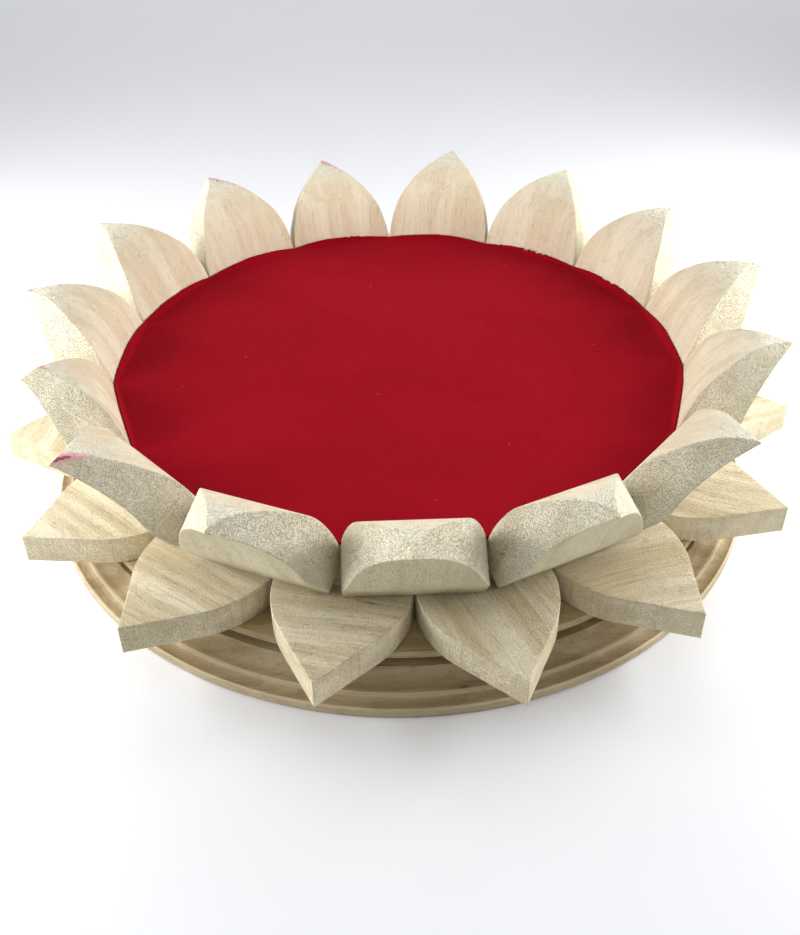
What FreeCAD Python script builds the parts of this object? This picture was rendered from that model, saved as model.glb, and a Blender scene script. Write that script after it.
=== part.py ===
"""Lotus offering plate in unfinished pale wood with a red velvet seat.

A turned foot carries a ring of flat leaf-shaped petals. A thick fifteen-sided seat board lies on
them, and a ring of thick, flared petals is doweled to its flats. A spacer disc fills the middle
between foot and seat board, and four wood screws from below hold foot, spacer and seat together.

Frame: origin at the centre of the foot's underside, +Z up, petal 01 of the upper ring towards -Y.
Units: millimetres. Each node is written to parts/NODE.step.
"""

import FreeCAD
import Part
import math
import os

V = FreeCAD.Vector
UP = V(0, 0, 1)
ORIGIN = V(0, 0, 0)

# ---------------------------------------------------------------- driving dimensions
PETAL_COUNT = 15
PITCH_DEG = 360.0 / PETAL_COUNT
HALF_PITCH = math.radians(PITCH_DEG / 2)

FOOT_RADIUS = 114.0
FOOT_THICKNESS = 15.0
LOWER_THICKNESS = 9.0
SEAT_THICKNESS = 14.0
VELVET_THICKNESS = 1.0

LOWER_TIP_RADIUS = 127.0          # half of the overall width, 254 mm
SEAT_APOTHEM = 89.2               # centre to each of the seat's fifteen flats
SPACER_RADIUS = 59.0

# levels above the surface that the foot stands on
LOWER_Z = FOOT_THICKNESS
SEAT_Z = LOWER_Z + LOWER_THICKNESS
VELVET_Z = SEAT_Z + SEAT_THICKNESS

# foot moulding, from the rim inwards
RIM_HEIGHT = 3.0
RIM_ROUND = 0.6
DIP_SINK = (0.5, 0.7)             # how far the small cove sinks below a straight line, inwards and down
RIDGE_RADIUS = 110.2
RIDGE_Z = 4.8
RIDGE_STEP = 0.8
RIDGE_FLAT = 0.8
COVE_RADIUS = 4.6
GROOVE_Z = (9.5, 12.7)
GROOVE_FLOOR_RADIUS = 102.0
BAND_RADIUS = 104.8

# lower petal: straight flanks from the tip, a round shoulder, then a tapered root under the seat
LOWER_HALF_WIDTH = 19.0
LOWER_FLANK_ANGLE = math.radians(38)
LOWER_SHOULDER_RADIUS = 29.0
ROOT_RADIUS = 60.0
ROOT_TAPER = math.radians(14)
LOWER_PIVOT_RADIUS = 93.0         # where neighbours come closest; a petal set askew turns about it

# upper petal: a pointed-arch outline, sawn square to a blank that leans outwards
UPPER_HALF_WIDTH = 18.8
UPPER_FLANK_ANGLE = math.radians(47)
UPPER_SHOULDER_RADIUS = 41.0
UPPER_LEAN = math.radians(28)
OUTLINE_DEPTH = 60.0              # how deep the outline's prism is, and how much of it is inside the tip
OUTLINE_INWARDS = 48.0
OUTLINE_BELOW = 8.0               # how far the prism goes on below the petal's foot
BLANK_MARGIN = 2.0                # how much wider than the outline the blank is on each side

# upper petal from the side, as (distance from the axis, height)
UPPER_TIP = (119.8, 62.7)
UPPER_TIP_INNER = (118.9, 63.1)
UPPER_INNER_LEVEL = 38.8          # the inner face is upright up to here
UPPER_INNER = [
    (91.0, 43.6), (93.2, 48.4), (95.8, 52.9), (99.5, 56.5), (103.9, 59.8), (109.4, 62.4), (114.0, 63.2),
]
UPPER_OUTER_FOOT = 93.2
UPPER_OUTER = [(98.4, 30.8), (103.0, 36.0), (106.6, 41.4), (108.7, 47.0), (111.6, 52.8), (115.2, 58.0)]

# fasteners
BRAD_RADIUS = 0.7
BRAD_HEAD_RADIUS = 1.5
BRAD_HEAD_THICKNESS = 0.8
BRAD_LENGTH = 18.0
BRAD_CIRCLE = 74.0
DOWEL_RADIUS = 2.0
DOWEL_LENGTH = 13.0
DOWEL_DEPTH_IN_SEAT = 7.5
DOWEL_Z = 31.0
SCREW_COUNT = 4
SCREW_CIRCLE = 40.0
SCREW_FIRST_DEG = 45.0
SCREW_RADIUS = 2.0
SCREW_CLEARANCE_RADIUS = 2.3
SCREW_HEAD_RADIUS = 4.0
SCREW_HEAD_CLEARANCE = 0.2
SCREW_HEAD_DEPTH = 2.4
SCREW_POINT = 3.0
SCREW_LENGTH = 32.0
SCREW_SUNK = 0.4
DRIVE_SLOT = (4.4, 0.9, 1.4)      # length, width and depth of each arm of the cross recess

# The petals are sawn and set by eye, so each differs a little from its template. All in mm.
# upper: tip reach, tip rise, tip sway to the right, bluntness, rounding of the two foot corners
UPPER_HAND = [
    (-0.4, -2.0, -1.6, 0.9, 0.0),
    (-0.4, -0.2, -1.6, 0.2, 5.0),
    (1.2, -0.8, -1.8, 0.0, 0.0),
    (-1.6, 0.0, 0.4, 0.0, 0.0),
    (-0.3, 0.1, 0.4, 0.0, 2.0),
    (-0.8, -0.4, 0.5, 0.3, 0.0),
    (-0.6, -0.6, 0.4, 0.0, 0.0),
    (0.5, 0.4, -1.8, 0.0, 1.5),
    (-0.9, -1.6, 1.6, 0.4, 0.0),
    (-0.4, -0.2, -0.9, 0.0, 0.0),
    (0.6, -0.5, 1.6, 0.0, 2.0),
    (-0.5, -1.0, 1.8, 0.0, 0.0),
    (-2.0, -1.4, 0.8, 3.6, 0.0),
    (2.6, -0.2, 0.9, 0.3, 0.0),
    (1.6, 0.6, 0.6, 0.2, 7.0),
]
# lower: turn in degrees about the widest place, and change of tip reach
LOWER_HAND = [
    (-0.4, -0.2), (-1.4, 1.0), (0.3, -0.3), (1.4, 0.5), (-0.8, -0.4), (0.6, 0.0), (-1.0, -0.3),
    (0.9, 0.2), (-0.5, -0.5), (1.1, 0.0), (-0.7, -0.2), (1.4, 0.0), (1.9, 0.0), (-3.4, 0.0),
    (-0.5, -2.2),
]


# ---------------------------------------------------------------- helpers
def line(a, b):
    return Part.LineSegment(a, b).toShape()


def arc(a, mid, b):
    return Part.Arc(a, mid, b).toShape()


def spline(points):
    curve = Part.BSplineCurve()
    curve.interpolate(points)
    return curve.toShape()


def face_of(edges):
    return Part.Face(Part.Wire(edges))


def around(shape, angle_deg):
    """A copy of a shape built along +X, turned so that angle 0 faces -Y."""
    turned = shape.copy()
    turned.rotate(ORIGIN, UP, angle_deg - 90)
    return turned


def ring_angle(index, offset=0.0):
    return index * PITCH_DEG + offset


def export(shape, node):
    shape.exportStep(os.path.join("parts", node + ".step"))


def leaf_shoulder(half_width, flank_angle, radius, tail_angle):
    """Start, middle and end of a leaf's shoulder arc, as (distance from the tip, half width).

    The flank runs straight from the tip to the arc's start, and tail_angle is 0 where the arc
    ends at the widest place, or negative where it goes on and narrows the leaf again.
    """
    flank = (half_width - radius * (1 - math.cos(flank_angle))) / math.sin(flank_angle)
    widest = flank * math.cos(flank_angle) + radius * math.sin(flank_angle)
    points = []
    for angle in (flank_angle, (flank_angle + tail_angle) / 2, tail_angle):
        points.append((widest - radius * math.sin(angle), half_width - radius * (1 - math.cos(angle))))
    return points


# ---------------------------------------------------------------- fasteners
def brad_at(index):
    """One headed brad, driven down through a lower petal's root into the foot."""
    shank = Part.makeCylinder(BRAD_RADIUS, BRAD_LENGTH, V(BRAD_CIRCLE, 0, SEAT_Z - BRAD_LENGTH))
    head = Part.makeCylinder(
        BRAD_HEAD_RADIUS, BRAD_HEAD_THICKNESS, V(BRAD_CIRCLE, 0, SEAT_Z - BRAD_HEAD_THICKNESS)
    )
    brad = shank.fuse(head).removeSplitter()
    return around(brad, ring_angle(index, PITCH_DEG / 2))


def dowel_at(index):
    """One blind dowel between a flat of the seat board and an upper petal."""
    start = V(SEAT_APOTHEM - DOWEL_DEPTH_IN_SEAT, 0, DOWEL_Z)
    dowel = Part.makeCylinder(DOWEL_RADIUS, DOWEL_LENGTH, start, V(1, 0, 0))
    return around(dowel, ring_angle(index))


def screw_position(index):
    angle = math.radians(SCREW_FIRST_DEG + index * 360.0 / SCREW_COUNT)
    return V(SCREW_CIRCLE * math.cos(angle), SCREW_CIRCLE * math.sin(angle), 0)


def screw():
    """A countersunk wood screw standing on its head, with a pointed end and a cross recess."""
    head_z = SCREW_SUNK
    neck_z = head_z + SCREW_HEAD_DEPTH
    point_z = SCREW_LENGTH - SCREW_POINT
    outline = [
        V(0, 0, head_z), V(SCREW_HEAD_RADIUS, 0, head_z), V(SCREW_RADIUS, 0, neck_z),
        V(SCREW_RADIUS, 0, point_z), V(0, 0, SCREW_LENGTH), V(0, 0, head_z),
    ]
    body = Part.Face(Part.makePolygon(outline)).revolve(ORIGIN, UP, 360)
    length, width, depth = DRIVE_SLOT
    for long_x, long_y in ((length, width), (width, length)):
        slot = Part.makeBox(long_x, long_y, depth, V(-long_x / 2, -long_y / 2, head_z))
        body = body.cut(slot)
    return body


def screw_seat_in_foot():
    """Clearance hole with a countersink that opens at the foot's underside."""
    wide = SCREW_HEAD_RADIUS + SCREW_HEAD_CLEARANCE
    hole = Part.makeCylinder(SCREW_CLEARANCE_RADIUS, FOOT_THICKNESS)
    cone = Part.makeCone(wide, SCREW_CLEARANCE_RADIUS, SCREW_HEAD_DEPTH, V(0, 0, SCREW_SUNK))
    mouth = Part.makeCylinder(wide, SCREW_SUNK)
    return hole.fuse([cone, mouth])


# ---------------------------------------------------------------- foot, spacer, seat, velvet
def foot(brads):
    """Turned foot: rim, small cove, stepped ridge, quarter-round cove, deep groove and petal band."""
    r, rim = FOOT_RADIUS, RIM_ROUND
    half_turn = math.sqrt(0.5)
    bevel = rim * (1 - half_turn)
    ridge_inner = V(RIDGE_RADIUS - RIDGE_FLAT, 0, RIDGE_Z)
    ridge_outer = V(RIDGE_RADIUS, 0, RIDGE_Z)
    ridge_foot = V(RIDGE_RADIUS, 0, RIDGE_Z - RIDGE_STEP)
    cove_top = V(ridge_inner.x - COVE_RADIUS, 0, RIDGE_Z + COVE_RADIUS)
    cove_middle = V(ridge_inner.x - COVE_RADIUS * half_turn, 0, RIDGE_Z + COVE_RADIUS * (1 - half_turn))
    groove_low, groove_high = GROOVE_Z
    rim_top = V(r - rim, 0, RIM_HEIGHT)
    dip_inwards, dip_down = DIP_SINK
    dip = (rim_top + ridge_foot) / 2 - V(dip_inwards, 0, dip_down)
    edges = [
        line(V(0, 0, 0), V(r - rim, 0, 0)),
        arc(V(r - rim, 0, 0), V(r - bevel, 0, bevel), V(r, 0, rim)),
        line(V(r, 0, rim), V(r, 0, RIM_HEIGHT - rim)),
        arc(V(r, 0, RIM_HEIGHT - rim), V(r - bevel, 0, RIM_HEIGHT - bevel), rim_top),
        arc(rim_top, dip, ridge_foot),
        line(ridge_foot, ridge_outer),
        line(ridge_outer, ridge_inner),
        arc(ridge_inner, cove_middle, cove_top),
        line(cove_top, V(cove_top.x, 0, groove_low)),
        line(V(cove_top.x, 0, groove_low), V(GROOVE_FLOOR_RADIUS, 0, groove_low)),
        line(V(GROOVE_FLOOR_RADIUS, 0, groove_low), V(GROOVE_FLOOR_RADIUS, 0, groove_high)),
        line(V(GROOVE_FLOOR_RADIUS, 0, groove_high), V(BAND_RADIUS, 0, groove_high)),
        line(V(BAND_RADIUS, 0, groove_high), V(BAND_RADIUS, 0, FOOT_THICKNESS)),
        line(V(BAND_RADIUS, 0, FOOT_THICKNESS), V(0, 0, FOOT_THICKNESS)),
        line(V(0, 0, FOOT_THICKNESS), V(0, 0, 0)),
    ]
    body = face_of(edges).revolve(ORIGIN, UP, 360)
    holes = list(brads)
    for i in range(SCREW_COUNT):
        seat = screw_seat_in_foot()
        seat.translate(screw_position(i))
        holes.append(seat)
    return body.cut(holes)


def spacer_disc():
    """Plain disc as thick as the lower petals, inside their ring of roots."""
    disc = Part.makeCylinder(SPACER_RADIUS, LOWER_THICKNESS, V(0, 0, LOWER_Z))
    holes = []
    for i in range(SCREW_COUNT):
        place = screw_position(i) + V(0, 0, LOWER_Z)
        holes.append(Part.makeCylinder(SCREW_CLEARANCE_RADIUS, LOWER_THICKNESS, place))
    return disc.cut(holes)


def regular_prism(apothem, low, height):
    """A fifteen-sided prism with a flat towards -Y."""
    corner_radius = apothem / math.cos(HALF_PITCH)
    corners = []
    for i in range(PETAL_COUNT + 1):
        angle = math.radians(ring_angle(i % PETAL_COUNT, PITCH_DEG / 2) - 90)
        corners.append(V(corner_radius * math.cos(angle), corner_radius * math.sin(angle), low))
    return Part.Face(Part.makePolygon(corners)).extrude(V(0, 0, height))


def seat_board(dowels, screws):
    return regular_prism(SEAT_APOTHEM, SEAT_Z, SEAT_THICKNESS).cut(dowels + screws)


def velvet_cover():
    return regular_prism(SEAT_APOTHEM, VELVET_Z, VELVET_THICKNESS)


# ---------------------------------------------------------------- petals
def lower_petal(index, brad):
    """Flat leaf with a tapered root that ends at the spacer."""
    turn, reach = LOWER_HAND[index]
    tip = LOWER_TIP_RADIUS + reach

    def at(point, side):
        return V(tip - point[0], side * point[1], LOWER_Z)

    flank, middle, tail = leaf_shoulder(
        LOWER_HALF_WIDTH, LOWER_FLANK_ANGLE, LOWER_SHOULDER_RADIUS, -ROOT_TAPER
    )
    root_run = tip - ROOT_RADIUS
    root = (root_run, tail[1] - (root_run - tail[0]) * math.tan(ROOT_TAPER))
    edges = [
        line(at((0, 0), 1), at(flank, 1)),
        arc(at(flank, 1), at(middle, 1), at(tail, 1)),
        line(at(tail, 1), at(root, 1)),
        line(at(root, 1), at(root, -1)),
        line(at(root, -1), at(tail, -1)),
        arc(at(tail, -1), at(middle, -1), at(flank, -1)),
        line(at(flank, -1), at((0, 0), 1)),
    ]
    leaf = face_of(edges).extrude(V(0, 0, LOWER_THICKNESS))
    leaf.rotate(V(LOWER_PIVOT_RADIUS, 0, 0), UP, turn)
    return around(leaf, ring_angle(index, PITCH_DEG / 2)).cut(brad)


def upper_side_profile(reach, rise):
    """The petal seen from the side, as a face in the XZ plane, and its outer tip."""

    def shifted(point):
        """A template point, following the tip by the square of its share of the height."""
        x, z = point
        share = ((z - SEAT_Z) / (UPPER_TIP[1] - SEAT_Z)) ** 2
        return V(x + share * reach, 0, z + share * rise)

    tip = shifted(UPPER_TIP)
    tip_inner = shifted(UPPER_TIP_INNER)
    foot_inner = V(SEAT_APOTHEM, 0, SEAT_Z)
    foot_outer = V(UPPER_OUTER_FOOT, 0, SEAT_Z)
    shelf = V(SEAT_APOTHEM, 0, UPPER_INNER_LEVEL)
    edges = [
        line(foot_inner, shelf),
        spline([shelf] + [shifted(p) for p in UPPER_INNER] + [tip_inner]),
        line(tip_inner, tip),
        spline([tip] + [shifted(p) for p in reversed(UPPER_OUTER)] + [foot_outer]),
        line(foot_outer, foot_inner),
    ]
    return face_of(edges), tip


def upper_leaf_prism(tip, sway, blunt, corner):
    """The pointed-arch outline as a prism square to the leaning blank."""
    along = V(math.sin(UPPER_LEAN), 0, math.cos(UPPER_LEAN))
    through = V(math.cos(UPPER_LEAN), 0, -math.sin(UPPER_LEAN))
    start = tip - along * blunt - through * OUTLINE_INWARDS
    flank, middle, shoulder = leaf_shoulder(
        UPPER_HALF_WIDTH, UPPER_FLANK_ANGLE, UPPER_SHOULDER_RADIUS, 0.0
    )
    foot_run = (tip.z - SEAT_Z) * along.z + (tip.x - UPPER_OUTER_FOOT) * along.x - blunt

    def at(point, side):
        run, half = point
        lean_over = sway * max(0.0, 1 - run / shoulder[0]) ** 2
        return start - along * run + V(0, side * half + lean_over, 0)

    half_width = UPPER_HALF_WIDTH
    below = foot_run + OUTLINE_BELOW
    edges = [line(at((0, 0), 1), at(flank, 1)), arc(at(flank, 1), at(middle, 1), at(shoulder, 1))]
    if corner:
        inset = corner * (1 - math.sqrt(0.5))
        rounded = [(foot_run - corner, half_width), (foot_run - inset, half_width - inset)]
        rounded.append((foot_run, half_width - corner))
        end = (below, half_width - corner)
        edges += [
            line(at(shoulder, 1), at(rounded[0], 1)),
            arc(at(rounded[0], 1), at(rounded[1], 1), at(rounded[2], 1)),
            line(at(rounded[2], 1), at(end, 1)),
            line(at(end, 1), at(end, -1)),
            line(at(end, -1), at(rounded[2], -1)),
            arc(at(rounded[2], -1), at(rounded[1], -1), at(rounded[0], -1)),
            line(at(rounded[0], -1), at(shoulder, -1)),
        ]
    else:
        end = (below, half_width)
        edges += [
            line(at(shoulder, 1), at(end, 1)),
            line(at(end, 1), at(end, -1)),
            line(at(end, -1), at(shoulder, -1)),
        ]
    edges += [arc(at(shoulder, -1), at(middle, -1), at(flank, -1)), line(at(flank, -1), at((0, 0), 1))]
    return face_of(edges).extrude(through * OUTLINE_DEPTH)


def upper_petal(index, dowel):
    """Thick flared petal: its side profile and its leaf outline, sawn one after the other."""
    reach, rise, sway, blunt, corner = UPPER_HAND[index]
    profile, tip = upper_side_profile(reach, rise)
    half_blank = UPPER_HALF_WIDTH + BLANK_MARGIN
    profile.translate(V(0, -half_blank, 0))
    blank = profile.extrude(V(0, 2 * half_blank, 0))
    petal = blank.common(upper_leaf_prism(tip, sway, blunt, corner))
    return around(petal, ring_angle(index)).cut(dowel)


# ---------------------------------------------------------------- build
def main():
    os.makedirs("parts", exist_ok=True)
    brads = [brad_at(i) for i in range(PETAL_COUNT)]
    dowels = [dowel_at(i) for i in range(PETAL_COUNT)]
    screws = []
    for i in range(SCREW_COUNT):
        one = screw()
        one.translate(screw_position(i))
        screws.append(one)

    export(foot(brads), "turned_foot")
    export(spacer_disc(), "spacer_disc")
    export(seat_board(dowels, screws), "seat_board")
    export(velvet_cover(), "velvet_cover")
    for i in range(PETAL_COUNT):
        export(lower_petal(i, brads[i]), f"lower_petal_{i + 1:02d}")
        export(upper_petal(i, dowels[i]), f"upper_petal_{i + 1:02d}")
    export(Part.makeCompound(brads), "petal_brads")
    export(Part.makeCompound(dowels), "petal_dowels")
    export(Part.makeCompound(screws), "base_screws")


main()
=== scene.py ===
"""Looks of the lotus offering plate: detailed petals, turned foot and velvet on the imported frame."""
import math

import bpy
import numpy as np
from mathutils import Matrix, Vector


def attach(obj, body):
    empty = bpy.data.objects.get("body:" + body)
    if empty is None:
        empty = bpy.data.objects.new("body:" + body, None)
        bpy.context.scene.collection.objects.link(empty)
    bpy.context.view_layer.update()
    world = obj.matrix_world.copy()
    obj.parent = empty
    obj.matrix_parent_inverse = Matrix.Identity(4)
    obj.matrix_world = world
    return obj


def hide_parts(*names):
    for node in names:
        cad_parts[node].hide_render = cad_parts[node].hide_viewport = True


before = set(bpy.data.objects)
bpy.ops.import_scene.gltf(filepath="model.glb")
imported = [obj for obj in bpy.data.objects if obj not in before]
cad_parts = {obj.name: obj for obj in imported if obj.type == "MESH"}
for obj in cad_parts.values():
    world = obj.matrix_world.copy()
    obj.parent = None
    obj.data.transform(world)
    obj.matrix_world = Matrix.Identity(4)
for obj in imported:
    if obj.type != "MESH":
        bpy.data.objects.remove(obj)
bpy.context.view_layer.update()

MM = 0.001
PETALS = 15
PITCH = 360.0 / PETALS

# ---------------------------------------------------------------- sizes shared with the CAD, in mm
SEAT_APOTHEM = 89.2
SEAT_Z = 24.0
LOWER_Z = 15.0
VELVET_TOP = 39.0
LOWER_TIP = 127.0
LOWER_LEAF = dict(half_width=19.0, flank=38.0, shoulder=29.0, tail=-14.0)
LOWER_ROOT = 60.0
LOWER_PIVOT = 93.0
UPPER_LEAF = dict(half_width=18.8, flank=47.0, shoulder=41.0, tail=0.0)
UPPER_LEAN = math.radians(28)
UPPER_TIP = (119.8, 62.7)
UPPER_TIP_INNER = (118.9, 63.1)
UPPER_INNER = [
    (91.0, 43.6), (93.2, 48.4), (95.8, 52.9), (99.5, 56.5), (103.9, 59.8), (109.4, 62.4), (114.0, 63.2),
]
UPPER_INNER_LEVEL = 38.8
UPPER_FOOT_OUTER = 93.2
UPPER_OUTER = [(98.4, 30.8), (103.0, 36.0), (106.6, 41.4), (108.7, 47.0), (111.6, 52.8), (115.2, 58.0)]
# tip reach, tip rise, tip sway, bluntness, rounding of the foot corners
UPPER_HAND = [
    (-0.4, -2.0, -1.6, 0.9, 0.0),
    (-0.4, -0.2, -1.6, 0.2, 5.0),
    (1.2, -0.8, -1.8, 0.0, 0.0),
    (-1.6, 0.0, 0.4, 0.0, 0.0),
    (-0.3, 0.1, 0.4, 0.0, 2.0),
    (-0.8, -0.4, 0.5, 0.3, 0.0),
    (-0.6, -0.6, 0.4, 0.0, 0.0),
    (0.5, 0.4, -1.8, 0.0, 1.5),
    (-0.9, -1.6, 1.6, 0.4, 0.0),
    (-0.4, -0.2, -0.9, 0.0, 0.0),
    (0.6, -0.5, 1.6, 0.0, 2.0),
    (-0.5, -1.0, 1.8, 0.0, 0.0),
    (-2.0, -1.4, 0.8, 3.6, 0.0),
    (2.6, -0.2, 0.9, 0.3, 0.0),
    (1.6, 0.6, 0.6, 0.2, 7.0),
]
# turn in degrees about the widest place, change of tip reach
LOWER_HAND = [
    (-0.4, -0.2), (-1.4, 1.0), (0.3, -0.3), (1.4, 0.5), (-0.8, -0.4), (0.6, 0.0), (-1.0, -0.3),
    (0.9, 0.2), (-0.5, -0.5), (1.1, 0.0), (-0.7, -0.2), (1.4, 0.0), (1.9, 0.0), (-3.4, 0.0),
    (-0.5, -2.2),
]
# how far each lower petal's fibres are turned from its length, in degrees
LOWER_GRAIN = [12, 70, 5, 20, 95, 0, 80, 10, 85, 0, 90, 75, 105, 92, 88]
# pink paint smeared on a few upper petals: how much, which side's edge it follows, how far down
PAINT = {
    6: (0.35, -1, 3.0),
    8: (0.62, -1, 8.0),
    9: (0.60, -1, 7.0),
    11: (0.70, -1, 2.5),
    12: (0.60, 1, 3.5),
    13: (1.15, 1, 5.5),
}
# how far the paint reaches across and into a petal, in mm
PAINT_ACROSS, PAINT_THROUGH = 3.0, 2.5
# an upper petal stays within this of its middle, so that it clears its neighbours
UPPER_ROOM = 18.85
# petal meshes: rounding of the arrises, how far hand sawing wanders, space between those wanderings,
# and how far short of the true tip and foot the first and last ring stop
UPPER_ARRIS, UPPER_WANDER, UPPER_WANDER_STEP, UPPER_END_GAP = 0.4, 0.10, 4.5, 0.06
LOWER_ARRIS, LOWER_WANDER, LOWER_WANDER_STEP, LOWER_END_GAP = 0.35, 0.12, 5.5, 0.05
# the sawing wanders fully only this far from the tip
WANDER_FADE = 6.0
# points along each face, along each flank and round each corner of a ring, and rings in a petal
ALONG_Y, ALONG_T, CORNER = 14, 8, 4
RINGS = 96

# the velvet: cut radius, how far its middle is off, thickness, level of its top, bend at the edge
VELVET_CUT = 90.9
VELVET_OFF_CENTRE = 0.6
VELVET_OFF_TOWARDS = math.radians(-90)
VELVET_THICK = 0.5
VELVET_CLEAR = 0.12
VELVET_FLAT = 38.65
VELVET_BEND = 1.5
VELVET_CURL = 70.0
VELVET_AROUND = 1440
VELVET_FLAT_RINGS, VELVET_EDGE_RINGS = 24, 10
VELVET_SWELL = 0.08
# how unevenly its edge was cut: size in mm and length of each wave in degrees, and single threads
VELVET_SNIPS = [(0.35, 17), (0.2, 4)]
VELVET_THREADS = 0.05
# frayed stretches of its edge: angle, half width in degrees, depth in mm
VELVET_FRAYS = [
    (146.0, 7.0, 0.9), (120.0, 2.5, 0.7), (112.0, 1.5, 0.5), (-171.0, 3.0, 0.4), (-60.0, 2.0, 0.4),
]


# ---------------------------------------------------------------- node helpers
class Graph:
    """A short way to write a material's nodes."""

    def __init__(self, name):
        self.material = bpy.data.materials.new(name)
        self.material.use_nodes = True
        self.tree = self.material.node_tree
        self.tree.nodes.clear()

    def node(self, kind, **settings):
        made = self.tree.nodes.new(kind)
        for key, value in settings.items():
            setattr(made, key, value)
        return made

    def put(self, socket, value):
        if isinstance(value, bpy.types.NodeSocket):
            self.tree.links.new(value, socket)
        elif value is not None:
            socket.default_value = value

    def coords_attribute(self, name):
        return self.node("ShaderNodeAttribute", attribute_name=name).outputs["Vector"]

    def amount_attribute(self, name):
        return self.node("ShaderNodeAttribute", attribute_name=name).outputs["Fac"]

    def object_mm(self):
        coords = self.node("ShaderNodeTexCoord").outputs["Object"]
        return self.scaled(coords, (1000, 1000, 1000))

    def scaled(self, vector, scale):
        made = self.node("ShaderNodeVectorMath", operation="MULTIPLY")
        self.put(made.inputs[0], vector)
        made.inputs[1].default_value = scale
        return made.outputs[0]

    def added(self, a, b):
        made = self.node("ShaderNodeVectorMath", operation="ADD")
        self.put(made.inputs[0], a)
        self.put(made.inputs[1], b)
        return made.outputs[0]

    def noise(self, vector, scale=1.0, detail=4.0, rough=0.55, colour=False):
        made = self.node("ShaderNodeTexNoise")
        self.put(made.inputs["Vector"], vector)
        made.inputs["Scale"].default_value = scale
        made.inputs["Detail"].default_value = detail
        made.inputs["Roughness"].default_value = rough
        return made.outputs["Color" if colour else "Fac"]

    def cells(self, vector, scale=1.0):
        made = self.node("ShaderNodeTexVoronoi")
        self.put(made.inputs["Vector"], vector)
        made.inputs["Scale"].default_value = scale
        return made.outputs["Distance"], made.outputs["Color"]

    def channel(self, colour, index):
        made = self.node("ShaderNodeSeparateColor")
        self.put(made.inputs[0], colour)
        return made.outputs[index]

    def remap(self, value, low, high, out_low=0.0, out_high=1.0):
        made = self.node("ShaderNodeMapRange", interpolation_type="SMOOTHSTEP")
        self.put(made.inputs["Value"], value)
        made.inputs["From Min"].default_value = low
        made.inputs["From Max"].default_value = high
        made.inputs["To Min"].default_value = out_low
        made.inputs["To Max"].default_value = out_high
        return made.outputs["Result"]

    def math(self, operation, a, b=0.0):
        made = self.node("ShaderNodeMath", operation=operation)
        self.put(made.inputs[0], a)
        self.put(made.inputs[1], b)
        return made.outputs[0]

    def mix(self, amount, a, b):
        made = self.node("ShaderNodeMix", data_type="RGBA", blend_type="MIX")
        self.put(made.inputs["Factor"], amount)
        self.put(made.inputs[6], a)
        self.put(made.inputs[7], b)
        return made.outputs[2]

    def bump(self, height, strength, distance, under=None):
        made = self.node("ShaderNodeBump")
        self.put(made.inputs["Height"], height)
        made.inputs["Strength"].default_value = strength
        made.inputs["Distance"].default_value = distance
        self.put(made.inputs["Normal"], under)
        return made.outputs["Normal"]

    def shader(self, **inputs):
        made = self.node("ShaderNodeBsdfPrincipled")
        for key, value in inputs.items():
            self.put(made.inputs[key.replace("_", " ")], value)
        out = self.node("ShaderNodeOutputMaterial")
        self.tree.links.new(made.outputs["BSDF"], out.inputs["Surface"])
        return self.material


def srgb(red, green, blue):
    """An 8-bit display colour as a linear RGBA tuple."""
    linear = []
    for value in (red, green, blue):
        share = value / 255
        linear.append(share / 12.92 if share <= 0.04045 else ((share + 0.055) / 1.055) ** 2.4)
    return (*linear, 1.0)


PIT_BROWN = srgb(108, 88, 50)


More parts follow.
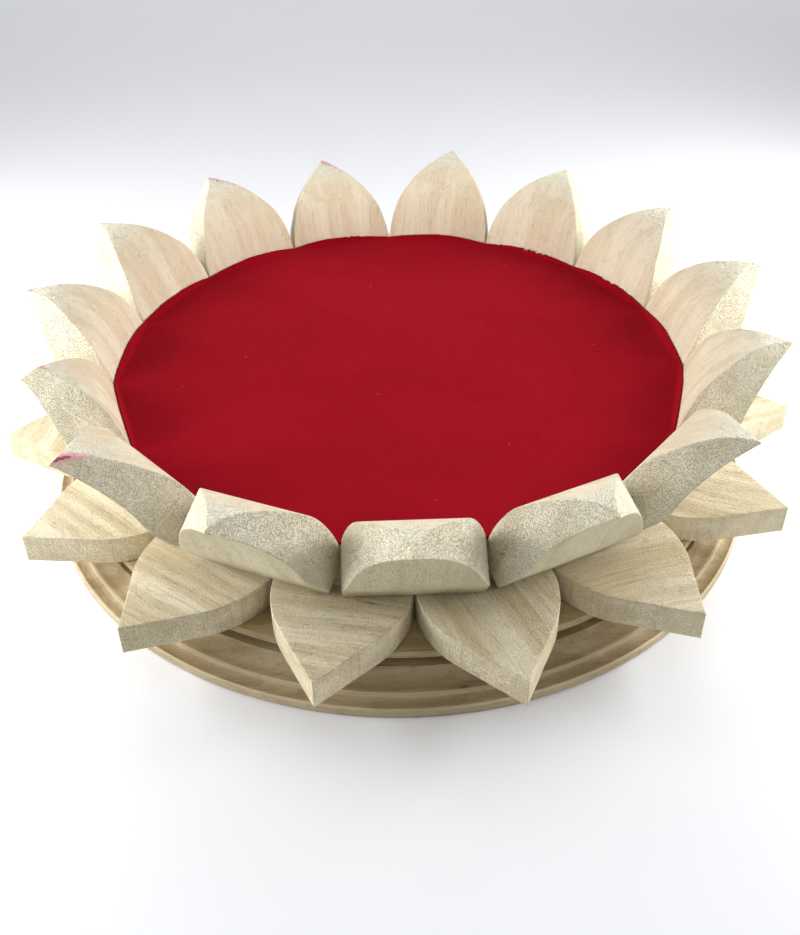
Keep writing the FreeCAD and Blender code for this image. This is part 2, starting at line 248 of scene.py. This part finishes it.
def wood(
    name, pale, tan, dark, coords="grain", saw=0.0, pores=0.5, streaks=0.5, ring_lines=0.0, fuzz=0.3,
):
    """Bare wood whose fibres run along the first coordinate, all lengths in mm.

    saw is how strongly blade marks show, pores and streaks how dark those are, ring_lines how much a
    lathe's fine lines show, and fuzz how torn the surface is.
    """
    g = Graph(name)
    place = g.object_mm() if coords == "object" else g.coords_attribute(coords)
    drift = g.noise(g.scaled(place, (0.02, 0.05, 0.05)), 1.0, 2.0, 0.5, colour=True)
    warped = g.added(place, g.scaled(drift, (0.0, 6.0, 6.0)))
    figure = g.noise(g.scaled(warped, (0.008, 0.16, 0.16)), 1.0, 3.0, 0.6)
    fibre = g.noise(g.scaled(warped, (0.05, 0.95, 0.95)), 1.0, 5.0, 0.7)
    blotch = g.noise(place, 0.045, 3.0, 0.55)
    colour = g.mix(g.remap(figure, 0.38, 0.64), pale, tan)
    colour = g.mix(g.math("MULTIPLY", g.remap(blotch, 0.45, 0.72), 0.45), colour, tan)
    colour = g.mix(g.math("MULTIPLY", g.remap(fibre, 0.5, 0.78), streaks), colour, dark)
    # pores: short dark vessels along the fibres, dots where they are cut across
    distance, cell = g.cells(g.scaled(warped, (0.2, 1.7, 1.7)))
    pore = g.remap(distance, 0.10, 0.36, 1.0, 0.0)
    pore = g.math("MULTIPLY", pore, g.remap(g.channel(cell, 0), 0.4, 0.8))
    colour = g.mix(g.math("MULTIPLY", pore, pores), colour, dark)
    height = g.math("SUBTRACT", g.math("MULTIPLY", fibre, 0.4), g.math("MULTIPLY", pore, 0.9))
    normal = g.bump(height, 0.6, 0.0003)
    # hairline cracks: thin lines along the fibres, in a few places only
    split = g.noise(g.scaled(warped, (0.012, 0.22, 0.22)), 1.0, 2.0, 0.5)
    line = g.remap(g.math("ABSOLUTE", g.math("SUBTRACT", split, 0.5)), 0.0, 0.006, 1.0, 0.0)
    rare = g.remap(g.noise(place, 0.07, 1.0, 0.5), 0.62, 0.66)
    colour = g.mix(g.math("MULTIPLY", g.math("MULTIPLY", line, rare), 0.7), colour, dark)
    if fuzz:
        shade = g.math("MULTIPLY", torn_fibres(g, place), fuzz * 0.45)
        colour = g.mix(shade, colour, PIT_BROWN)
        normal = g.bump(shade, 1.0, 0.0005, normal)
    if saw:
        kerf = g.noise(g.scaled(place, (1.3, 0.8, 0.035)), 1.0, 3.0, 0.6)
        colour = g.mix(g.math("MULTIPLY", g.remap(kerf, 0.5, 0.72), saw * 0.35), colour, dark)
        normal = g.bump(kerf, saw, 0.0004, normal)
    if ring_lines:
        radius, above = turned_place(g, place)
        level = g.node("ShaderNodeCombineXYZ")
        g.put(level.inputs[0], radius)
        g.put(level.inputs[2], above)
        turned = g.noise(level.outputs[0], 1.6, 4.0, 0.7)
        colour = g.mix(g.math("MULTIPLY", g.remap(turned, 0.5, 0.75), ring_lines * 0.5), colour, dark)
        normal = g.bump(turned, ring_lines, 0.0003, normal)
    return g, colour, normal


def turned_place(g, place):
    """A point's distance from the upright axis, and its height."""
    flat = g.node("ShaderNodeSeparateXYZ")
    g.put(flat.inputs[0], place)
    squares = g.math("ADD", g.math("POWER", flat.outputs[0], 2.0), g.math("POWER", flat.outputs[1], 2.0))
    return g.math("SQRT", squares), flat.outputs[2]


def torn_fibres(g, place):
    """Fine speckle of a sawn face: 0 where the fibres stand, 1 in a pit, about three to a millimetre."""
    distance, cell = g.cells(g.scaled(place, (3.1, 2.7, 2.7)))
    dots = g.remap(distance, 0.62, 0.15)
    return g.math("MULTIPLY", dots, g.remap(g.channel(cell, 1), 0.0, 0.6, 0.55, 1.0))


def finish_wood(g, colour, normal, roughness=0.82):
    return g.shader(Base_Color=colour, Roughness=roughness, Specular_IOR_Level=0.25, Normal=normal)


def painted(g, colour, start, strength):
    """Pink paint that was smeared on some tips, with dark red in its thickest spots."""
    place = g.coords_attribute("grain")
    patchy = g.math("MULTIPLY", g.noise(g.scaled(place, (0.5, 0.9, 0.9)), 1.0, 4.0, 0.75), 0.9)
    edge = g.math("ADD", g.amount_attribute("paint"), patchy)
    colour = g.mix(g.remap(edge, start - 0.3, start + 0.25, 0.0, strength), colour, srgb(226, 150, 164))
    return g.mix(g.remap(edge, start + 0.42, start + 0.56, 0.0, 0.85), colour, srgb(158, 30, 66))


def petal_face_material():
    """Upper petals' inner faces: planed smooth, with paint smeared at some tips."""
    g, colour, normal = wood(
        "petal_face", srgb(238, 226, 199), srgb(226, 208, 178), srgb(150, 118, 80),
        pores=0.15, streaks=0.3, fuzz=0.35,
    )
    wander = g.math("MULTIPLY", g.noise(g.coords_attribute("grain"), 0.08, 3.0, 0.6), 0.3)
    tip = g.remap(g.math("ADD", g.amount_attribute("from_tip"), wander), 0.25, 0.62, 0.75, 0.0)
    colour = g.mix(tip, colour, srgb(250, 246, 224))
    torn = torn_fibres(g, g.coords_attribute("grain"))
    rough_tip = g.math("MULTIPLY", torn, g.math("MULTIPLY", tip, 0.3))
    colour = g.mix(rough_tip, colour, srgb(104, 88, 54))
    return finish_wood(g, painted(g, colour, 0.85, 0.8), g.bump(rough_tip, 1.0, 0.0006, normal))


def petal_back_material():
    g, colour, normal = wood(
        "petal_back", srgb(222, 212, 180), srgb(209, 196, 160), srgb(112, 88, 56),
        pores=0.1, streaks=0.25, fuzz=0.65,
    )
    return finish_wood(g, colour, normal, 0.88)


def petal_sawn_material():
    """Sawn edges of the upper petals: rough, pale and full of torn pores."""
    g, colour, normal = wood(
        "petal_sawn", srgb(242, 234, 210), srgb(228, 218, 190), srgb(100, 78, 48),
        saw=0.15, pores=0.08, streaks=0.12, fuzz=1.0,
    )
    return finish_wood(g, painted(g, colour, 1.0, 0.5), normal, 0.92)


def leaf_top_material():
    g, colour, normal = wood(
        "leaf_top", srgb(238, 229, 203), srgb(210, 195, 161), srgb(98, 76, 48),
        pores=0.25, streaks=0.5, fuzz=0.75,
    )
    return finish_wood(g, colour, normal, 0.85)


def leaf_sawn_material():
    g, colour, normal = wood(
        "leaf_sawn", srgb(230, 219, 188), srgb(214, 200, 166), srgb(104, 80, 52),
        saw=0.45, pores=0.08, streaks=0.1, fuzz=0.8,
    )
    return finish_wood(g, colour, normal, 0.9)


# painted highlights on the foot's ridge and rim edges and painted shade in its dip and cove: radius,
# half width, colour, how much
FOOT_PAINTED_LIGHT = [
    (111.7, 1.6, srgb(108, 86, 58), 0.3),
    (108.4, 1.4, srgb(108, 86, 58), 0.2),
    (109.9, 0.6, srgb(232, 218, 188), 0.75),
    (113.7, 0.6, srgb(232, 218, 188), 0.5),
]


def foot_material():
    g, colour, normal = wood(
        "foot_turned", srgb(190, 172, 136), srgb(166, 146, 110), srgb(92, 70, 46), coords="object",
        pores=0.3, streaks=0.5, ring_lines=0.5, fuzz=0.35,
    )
    radius, height = turned_place(g, g.object_mm())
    above_base = g.remap(height, 0.2, 0.6)
    # paint highlights along the ridge and rim edges and shade in the dip and the cove into the foot's
    # colour
    for ring, half_width, tone, strength in FOOT_PAINTED_LIGHT:
        away = g.math("ABSOLUTE", g.math("SUBTRACT", radius, ring))
        near = g.remap(away, 0.0, half_width, strength, 0.0)
        colour = g.mix(g.math("MULTIPLY", near, above_base), colour, tone)
    return finish_wood(g, colour, normal, 0.8)


def board_material():
    g, colour, normal = wood(
        "board_wood", srgb(226, 210, 182), srgb(208, 187, 155), srgb(138, 108, 76), coords="object",
        pores=0.5, streaks=0.5, fuzz=0.3,
    )
    return finish_wood(g, colour, normal)


def steel_material():
    g = Graph("zinc_steel")
    place = g.object_mm()
    cloud = g.noise(place, 0.9, 4.0, 0.6)
    colour = g.mix(cloud, srgb(196, 198, 200), srgb(150, 152, 156))
    normal = g.bump(g.noise(place, 6.0, 3.0, 0.6), 0.15, 0.0001)
    rough = g.remap(cloud, 0.3, 0.7, 0.28, 0.45)
    return g.shader(Base_Color=colour, Metallic=1.0, Roughness=rough, Normal=normal)


def velvet_material():
    """Short-pile velvet: deep crimson, faintly brushed, with a fine fibre bump."""
    g = Graph("velvet")
    place = g.object_mm()
    brushed = g.noise(g.scaled(place, (0.02, 0.035, 0.02)), 1.0, 4.0, 0.55)
    smudge = g.noise(g.scaled(place, (0.09, 0.16, 0.1)), 1.0, 3.0, 0.6)
    pile = g.noise(place, 1.3, 5.0, 0.8)
    colour = g.mix(g.remap(brushed, 0.35, 0.68), srgb(146, 8, 25), srgb(154, 11, 29))
    colour = g.mix(g.math("MULTIPLY", g.remap(smudge, 0.6, 0.8), 0.35), colour, srgb(166, 18, 36))
    colour = g.mix(g.math("MULTIPLY", g.remap(pile, 0.5, 0.3), 0.45), colour, srgb(92, 3, 11))
    lint, _ = g.cells(place, 0.11)
    colour = g.mix(g.remap(lint, 0.018, 0.032, 0.5, 0.0), colour, srgb(214, 120, 124))
    normal = g.bump(pile, 0.6, 0.0004)
    return g.shader(
        Base_Color=colour, Roughness=0.95, Specular_IOR_Level=0.05, Normal=normal,
        Sheen_Weight=0.12, Sheen_Roughness=0.5, Sheen_Tint=srgb(230, 60, 66),
    )


MATERIALS = {
    "face": petal_face_material(),
    "back": petal_back_material(),
    "sawn": petal_sawn_material(),
    "leaf_top": leaf_top_material(),
    "leaf_sawn": leaf_sawn_material(),
    "foot": foot_material(),
    "board": board_material(),
    "steel": steel_material(),
    "velvet": velvet_material(),
}


# ---------------------------------------------------------------- petal meshes
def leaf_half_width(run, half_width, flank, shoulder, tail):
    """Half width of a leaf outline at each distance from its tip."""
    angle = math.radians(flank)
    straight = (half_width - shoulder * (1 - math.cos(angle))) / math.sin(angle)
    widest = straight * math.cos(angle) + shoulder * math.sin(angle)
    on_arc = np.sqrt(np.maximum(shoulder**2 - np.minimum(widest - run, shoulder) ** 2, 0))
    rounded = half_width - shoulder + on_arc
    width = np.where(run < straight * math.cos(angle), run * math.tan(angle), rounded)
    end = math.radians(-tail)
    tail_run = widest + shoulder * math.sin(end)
    tail_width = half_width - shoulder * (1 - math.cos(end))
    beyond = tail_width - (run - tail_run) * math.tan(end)
    return np.where(run > tail_run, beyond, width), widest


def smooth_noise(rng, length, step):
    """A gentle random curve as a function of distance, between about -1 and 1."""
    count = int(length / step) + 4
    knots = rng.normal(0, 0.5, count)

    def at(run):
        x = np.clip(np.asarray(run) / step, 0, count - 2.001)
        low = np.floor(x).astype(int)
        share = x - low
        share = share * share * (3 - 2 * share)
        return knots[low] * (1 - share) + knots[low + 1] * share

    return at


def rounded_ring(left, right, near, far, radius, along_y, along_t, corner):
    """Points round a rectangle in (y, depth), with rounded corners."""
    radius = min(radius, 0.45 * (right - left), 0.45 * (far - near))
    corners = [
        (right - radius, near + radius, -90),
        (right - radius, far - radius, 0),
        (left + radius, far - radius, 90),
        (left + radius, near + radius, 180),
    ]
    points = []
    for index, (cy, ct, start) in enumerate(corners):
        for step in range(corner + 1):
            angle = math.radians(start + 90 * step / corner)
            points.append((cy + radius * math.cos(angle), ct + radius * math.sin(angle)))
        next_y, next_t, next_start = corners[(index + 1) % 4]
        begin = points[-1]
        first = math.radians(next_start)
        finish = (next_y + radius * math.cos(first), next_t + radius * math.sin(first))
        count = along_t if index in (0, 2) else along_y
        for step in range(1, count):
            share = step / count
            along = begin[0] + (finish[0] - begin[0]) * share
            points.append((along, begin[1] + (finish[1] - begin[1]) * share))
    return points


def ring_sides(along_y, along_t, corner):
    """0 for the near face, 1 for the right flank, 2 for the far face, 3 for the left flank."""
    sides = []
    half = corner // 2
    for before in range(4):
        after = (before + 1) % 4
        straight = along_y if after % 2 == 0 else along_t
        sides += [before] * half + [after] * (corner - half + straight)
    return sides


SIDES = ring_sides(ALONG_Y, ALONG_T, CORNER)


def turned(points, angle):
    """Points of a piece built along +X, turned so that angle 0 faces -Y."""
    turn = math.radians(angle - 90)
    cos, sin = math.cos(turn), math.sin(turn)
    x, y, z = points.T
    return np.column_stack([x * cos - y * sin, x * sin + y * cos, z])


def point_values(mesh, name, values):
    attribute = mesh.attributes.new(name, "FLOAT", "POINT")
    attribute.data.foreach_set("value", np.asarray(values, dtype=np.float32))


def loft(name, rings, angle, grain, paint, materials):
    """A closed mesh through rings of equal length, given along +X in mm and turned to its place."""
    count = len(rings[0])
    verts = turned(np.concatenate(rings), angle) * MM
    faces = []
    slots = []
    for row in range(len(rings) - 1):
        base, above = row * count, (row + 1) * count
        for col in range(count):
            after = (col + 1) % count
            faces.append((base + col, base + after, above + after, above + col))
            slots.append((0, 1, 2, 1)[SIDES[col]])
    faces.append(tuple(reversed(range(count))))
    faces.append(tuple(range(len(verts) - count, len(verts))))
    slots += [1, 1]
    mesh = bpy.data.meshes.new(name)
    mesh.from_pydata(verts.tolist(), [], faces)
    for material in materials:
        mesh.materials.append(material)
    mesh.polygons.foreach_set("material_index", slots)
    mesh.polygons.foreach_set("use_smooth", [True] * len(faces))
    attribute = mesh.attributes.new("grain", "FLOAT_VECTOR", "POINT")
    attribute.data.foreach_set("vector", np.concatenate(grain).astype(np.float32).ravel())
    point_values(mesh, "paint", paint)
    point_values(mesh, "from_tip", np.repeat(np.linspace(0, 1, len(rings)), count))
    mesh.validate()
    made = bpy.data.objects.new(name, mesh)
    bpy.context.scene.collection.objects.link(made)
    return made


def natural_spline(points, steps=24):
    """Dense points on a smooth curve through the given ones."""
    points = np.asarray(points, dtype=float)
    t = np.concatenate([[0], np.cumsum(np.hypot(*np.diff(points, axis=0).T))])
    n = len(points)
    h = np.diff(t)
    system = np.zeros((n, n))
    right = np.zeros((n, 2))
    system[0, 0] = system[-1, -1] = 1
    for i in range(1, n - 1):
        system[i, i - 1], system[i, i], system[i, i + 1] = h[i - 1], 2 * (h[i - 1] + h[i]), h[i]
        right[i] = 3 * ((points[i + 1] - points[i]) / h[i] - (points[i] - points[i - 1]) / h[i - 1])
    c = np.linalg.solve(system, right)
    dense = []
    for i in range(n - 1):
        b = (points[i + 1] - points[i]) / h[i] - h[i] * (2 * c[i] + c[i + 1]) / 3
        d = (c[i + 1] - c[i]) / (3 * h[i])
        for x in np.linspace(0, h[i], steps, endpoint=False):
            dense.append(points[i] + b * x + c[i] * x**2 + d * x**3)
    dense.append(points[-1])
    return np.array(dense)


def smear_on(index, local, left, right, blunt):
    """How thick the paint is at each point of a ring: most along one top edge, near the tip."""
    if index not in PAINT:
        return np.zeros(len(local))
    amount, side, length = PAINT[index]
    run, across, depth = local.T
    from_edge = np.abs(across - (right if side > 0 else left))
    along = np.clip(1.2 - (run - blunt) / length, 0, 1)
    across_share = np.exp(-((from_edge / PAINT_ACROSS) ** 2))
    return amount * along * across_share * np.exp(-((depth - depth.min()) / PAINT_THROUGH))


def upper_petal(index):
    reach, rise, sway, blunt, foot_round = UPPER_HAND[index]
    rng = np.random.default_rng(100 + index)

    def shifted(point):
        share = ((point[1] - SEAT_Z) / (UPPER_TIP[1] - SEAT_Z)) ** 2
        return (point[0] + share * reach, point[1] + share * rise)

    tip = np.array(shifted(UPPER_TIP))
    along = np.array([math.sin(UPPER_LEAN), math.cos(UPPER_LEAN)])
    through = np.array([math.cos(UPPER_LEAN), -math.sin(UPPER_LEAN)])
    inner = [shifted(UPPER_TIP_INNER)] + [shifted(p) for p in reversed(UPPER_INNER)]
    inner = natural_spline(inner + [(SEAT_APOTHEM, UPPER_INNER_LEVEL)])
    inner = np.vstack([inner, [(SEAT_APOTHEM, SEAT_Z)]])
    outer = [tuple(tip)] + [shifted(p) for p in reversed(UPPER_OUTER)]
    outer = natural_spline(outer + [(UPPER_FOOT_OUTER, SEAT_Z)])
    outer = np.vstack([outer, [(SEAT_APOTHEM, SEAT_Z)]])

    def in_blank(curve):
        """Curve as distance down the blank and depth through it."""
        offset = curve - tip
        return -(offset @ along), offset @ through

    inner_run, inner_depth = in_blank(inner)
    outer_run, outer_depth = in_blank(outer)
    length = inner_run[-1]
    share = np.linspace(0, 1, RINGS)
    sawn = length - blunt - 2 * UPPER_END_GAP
    runs = blunt + UPPER_END_GAP + sawn * (0.35 * share + 0.65 * share**2)
    foot_at = outer_run[-2]
    widths, widest = leaf_half_width(runs - blunt, **UPPER_LEAF)
    wander_left = smooth_noise(rng, 60, UPPER_WANDER_STEP)
    wander_right = smooth_noise(rng, 60, UPPER_WANDER_STEP)
    shift = rng.uniform(0, 900, 3)
    rings, grain, paint = [], [], []
    for run, width in zip(runs, widths):
        near = np.interp(run, inner_run, inner_depth)
        far = np.interp(run, outer_run, outer_depth)
        wander = UPPER_WANDER * min(1.0, (run - blunt) / WANDER_FADE)
        lean_over = sway * max(0.0, 1 - (run - blunt) / widest) ** 2
        cut = 0.0
        if foot_round and run > foot_at - foot_round:
            inside = min(1.0, (run - (foot_at - foot_round)) / foot_round)
            cut = foot_round * (1 - math.sqrt(max(0.0, 1 - inside**2)))
        left = -width + lean_over - wander * wander_left(run) + cut
        right = width + lean_over + wander * wander_right(run) - cut
        left, right = max(left, -UPPER_ROOM), min(right, UPPER_ROOM)
        ring = []
        local = []
        for y, depth in rounded_ring(left, right, near, far, UPPER_ARRIS, ALONG_Y, ALONG_T, CORNER):
            u, z = tip - along * run + through * depth
            ring.append((u, y, z))
            local.append((run, y, depth))
        rings.append(np.array(ring))
        local = np.array(local)
        grain.append(local + shift)
        paint.append(smear_on(index, local, left, right, blunt))
    obj = loft(
        f"petal_upper_{index + 1:02d}", rings, index * PITCH, grain, np.concatenate(paint),
        [MATERIALS["face"], MATERIALS["sawn"], MATERIALS["back"]],
    )
    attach(obj, "root")
    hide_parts(f"upper_petal_{index + 1:02d}")
    return obj


def lower_petal(index):
    turn, reach = LOWER_HAND[index]
    rng = np.random.default_rng(200 + index)
    tip = LOWER_TIP + reach
    length = tip - LOWER_ROOT
    share = np.linspace(0, 1, RINGS)
    runs = LOWER_END_GAP + (length - 2 * LOWER_END_GAP) * (0.4 * share + 0.6 * share**2)
    widths, _ = leaf_half_width(runs, **LOWER_LEAF)
    wander_left = smooth_noise(rng, 90, LOWER_WANDER_STEP)
    wander_right = smooth_noise(rng, 90, LOWER_WANDER_STEP)
    shift = rng.uniform(0, 900, 3)
    cos, sin = math.cos(math.radians(turn)), math.sin(math.radians(turn))
    fibres = math.radians(LOWER_GRAIN[index])
    grain_cos, grain_sin = math.cos(fibres), math.sin(fibres)
    thick = SEAT_Z - LOWER_Z
    rings, grain = [], []
    for run, width in zip(runs, widths):
        wander = LOWER_WANDER * min(1.0, run / WANDER_FADE)
        left = -width - wander * wander_left(run)
        right = width + wander * wander_right(run)
        ring = []
        local = []
        for y, depth in rounded_ring(left, right, 0.0, thick, LOWER_ARRIS, ALONG_Y, ALONG_T, CORNER):
            x = tip - run - LOWER_PIVOT
            ring.append((LOWER_PIVOT + x * cos - y * sin, x * sin + y * cos, SEAT_Z - depth))
            local.append((run * grain_cos - y * grain_sin, run * grain_sin + y * grain_cos, depth))
        rings.append(np.array(ring))
        grain.append(np.array(local) + shift)
    obj = loft(
        f"petal_lower_{index + 1:02d}", rings, (index + 0.5) * PITCH, grain,
        np.zeros(len(rings) * len(SIDES)),
        [MATERIALS["leaf_top"], MATERIALS["leaf_sawn"], MATERIALS["leaf_top"]],
    )
    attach(obj, "root")
    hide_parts(f"lower_petal_{index + 1:02d}")
    return obj


# ---------------------------------------------------------------- velvet
def inner_face_at(height):
    """How far out the upper petals' inner faces are at a height, in mm."""
    points = [(SEAT_APOTHEM, UPPER_INNER_LEVEL)] + UPPER_INNER[:3]
    levels = [point[1] for point in points]
    return np.interp(height, levels, [point[0] for point in points])


def velvet_radius(rng):
    """Where the cloth was cut, at each angle: nearly a circle, snipped by hand, frayed in places."""
    angles = np.arange(VELVET_AROUND) * 360.0 / VELVET_AROUND
    direction = np.radians(angles - 90)
    radius = VELVET_CUT + VELVET_OFF_CENTRE * np.cos(direction - VELVET_OFF_TOWARDS)
    for size, step in VELVET_SNIPS:
        radius += size * smooth_noise(rng, 360, step)(angles)
    radius += VELVET_THREADS * rng.normal(0, 1, VELVET_AROUND)
    for centre, half_width, depth in VELVET_FRAYS:
        apart = (angles - centre + 180) % 360 - 180
        bitten = np.maximum(0, smooth_noise(rng, 360, 0.55)(angles) + 0.15)
        radius -= depth * bitten * np.exp(-((apart / half_width) ** 4))
    return angles, direction, radius


def velvet_sheet():
    """One piece of velvet, wider than the seat, so its edge curls up the petals' inner faces."""
    rng = np.random.default_rng(7)
    angles, direction, cut = velvet_radius(rng)
    in_pitch = (angles + PITCH / 2) % PITCH - PITCH / 2
    slant = np.cos(np.radians(in_pitch))
    bend_angle = math.radians(VELVET_CURL)
    ease = VELVET_BEND * math.sin(bend_angle)
    start = inner_face_at(VELVET_TOP) / slant - VELVET_THICK - VELVET_CLEAR - ease
    verts = [(0.0, 0.0, VELVET_FLAT)]
    flat = np.linspace(0.05, 1, VELVET_FLAT_RINGS)
    edge = 1 + np.linspace(0.1, 1, VELVET_EDGE_RINGS)
    shares = np.concatenate([flat, edge])
    for share in shares:
        if share <= 1:
            radius, height = start * share, np.full(VELVET_AROUND, VELVET_FLAT)
        else:
            length = (cut - start) * (share - 1)
            turn = np.minimum(length / VELVET_BEND, bend_angle)
            beyond = np.maximum(0, length - VELVET_BEND * bend_angle)
            radius = start + VELVET_BEND * np.sin(turn) + beyond * math.cos(bend_angle)
            height = VELVET_FLAT + VELVET_BEND * (1 - np.cos(turn)) + beyond * math.sin(bend_angle)
            room = inner_face_at(height) / slant - VELVET_THICK - VELVET_CLEAR
            radius = np.minimum(radius, room)
        x, y = radius * np.cos(direction), radius * np.sin(direction)
        swell = VELVET_SWELL * np.sin(x * 0.06 + 1.3) * np.cos(y * 0.05)
        verts += np.column_stack([x, y, height + swell]).tolist()
    count = VELVET_AROUND
    faces = [(0, 1 + i, 1 + (i + 1) % count) for i in range(count)]
    for row in range(len(shares) - 1):
        low, high = 1 + row * count, 1 + (row + 1) * count
        for i in range(count):
            after = (i + 1) % count
            faces.append((low + i, high + i, high + after, low + after))
    mesh = bpy.data.meshes.new("velvet_sheet")
    mesh.from_pydata([tuple(c * MM for c in v) for v in verts], [], faces)
    mesh.polygons.foreach_set("use_smooth", [True] * len(faces))
    mesh.materials.append(MATERIALS["velvet"])
    sheet = bpy.data.objects.new("velvet_sheet", mesh)
    bpy.context.scene.collection.objects.link(sheet)
    thick = sheet.modifiers.new("pile", "SOLIDIFY")
    thick.thickness = VELVET_THICK * MM
    thick.offset = -1.0
    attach(sheet, "root")
    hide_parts("velvet_cover")
    return sheet


# ---------------------------------------------------------------- carried-over CAD nodes
CAD_LOOKS = {
    "turned_foot": "foot",
    "spacer_disc": "board",
    "seat_board": "board",
    "petal_dowels": "board",
    "petal_brads": "steel",
    "base_screws": "steel",
}


def dress(node, material):
    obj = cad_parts[node]
    obj.data.materials.clear()
    obj.data.materials.append(material)


# ---------------------------------------------------------------- studio
# half the floor's width, and its level: just under the foot, so that no two faces lie on each other
FLOOR_HALF = 4.0
FLOOR_LEVEL = -0.0001


def floor():
    g = Graph("floor")
    place = g.object_mm()
    soft = g.noise(place, 0.006, 3.0, 0.5)
    colour = g.mix(soft, srgb(246, 247, 250), srgb(240, 241, 245))
    material = g.shader(Base_Color=colour, Roughness=0.9, Specular_IOR_Level=0.1)
    mesh = bpy.data.meshes.new("floor")
    corners = []
    for side_x, side_y in ((-1, -1), (1, -1), (1, 1), (-1, 1)):
        corners.append((side_x * FLOOR_HALF, side_y * FLOOR_HALF, FLOOR_LEVEL))
    mesh.from_pydata(corners, [], [(0, 1, 2, 3)])
    mesh.materials.append(material)
    obj = bpy.data.objects.new("floor", mesh)
    bpy.context.scene.collection.objects.link(obj)


# name, place, width and height, power
LIGHTS = [
    ("overhead", (0.0, -0.32, 0.90), (1.3, 1.0), 0.9),
    ("left", (-0.30, -0.02, 0.13), (0.3, 0.15), 1.3),
    ("right", (0.30, 0.02, 0.14), (0.3, 0.15), 1.3),
    ("back", (0.0, 1.1, 0.7), (1.5, 0.6), 4.8),
]
LIGHTS_AIM = (0, 0, 0.03)
WORLD_COLOUR = (0.98, 0.99, 1.0, 1)
WORLD_STRENGTH = 0.35


def area_light(name, position, size, power):
    light = bpy.data.lights.new(name, "AREA")
    light.shape = "RECTANGLE"
    light.size, light.size_y = size
    light.energy = power
    obj = bpy.data.objects.new(name, light)
    bpy.context.scene.collection.objects.link(obj)
    obj.location = position
    obj.rotation_euler = (Vector(LIGHTS_AIM) - Vector(position)).to_track_quat("-Z", "Y").to_euler()


def studio():
    floor()
    for name, position, size, power in LIGHTS:
        area_light(name, position, size, power)
    world = bpy.data.worlds.new("world")
    bpy.context.scene.world = world
    world.use_nodes = True
    back = world.node_tree.nodes["Background"]
    back.inputs["Color"].default_value = WORLD_COLOUR
    back.inputs["Strength"].default_value = WORLD_STRENGTH


# the camera: distance from the middle of the foot's underside, direction, aim, and lens in mm
CAMERA_DISTANCE = 0.3705
CAMERA_ELEVATION = math.radians(37.12)
CAMERA_AZIMUTH = math.radians(-2.05)
CAMERA_TILT, CAMERA_ROLL = -0.0147, 0.0110
CAMERA_LENS, CAMERA_SENSOR, CAMERA_SHIFT_Y = 41.13, 36.0, -0.031


def camera():
    """At the photograph's viewing angle: well above the rim, close by."""
    flat = CAMERA_DISTANCE * math.cos(CAMERA_ELEVATION)
    up = CAMERA_DISTANCE * math.sin(CAMERA_ELEVATION)
    spot = (flat * math.sin(CAMERA_AZIMUTH), -flat * math.cos(CAMERA_AZIMUTH), up)
    data = bpy.data.cameras.new("camera")
    data.sensor_fit = "AUTO"
    data.sensor_width = CAMERA_SENSOR
    data.lens = CAMERA_LENS
    data.shift_y = CAMERA_SHIFT_Y
    data.clip_start = 0.01
    obj = bpy.data.objects.new("camera", data)
    bpy.context.scene.collection.objects.link(obj)
    lowered = math.radians(90) - CAMERA_ELEVATION
    aimed = Matrix.Rotation(CAMERA_AZIMUTH, 4, "Z") @ Matrix.Rotation(lowered, 4, "X")
    local = Matrix.Rotation(-CAMERA_TILT, 4, "X") @ Matrix.Rotation(-CAMERA_ROLL, 4, "Z")
    obj.matrix_world = Matrix.Translation(spot) @ aimed @ local
    bpy.context.scene.camera = obj


camera()
for petal in range(PETALS):
    upper_petal(petal)
    lower_petal(petal)
velvet_sheet()
for node, material in CAD_LOOKS.items():
    dress(node, MATERIALS[material])
studio()
bpy.context.scene.view_settings.view_transform = "Standard"
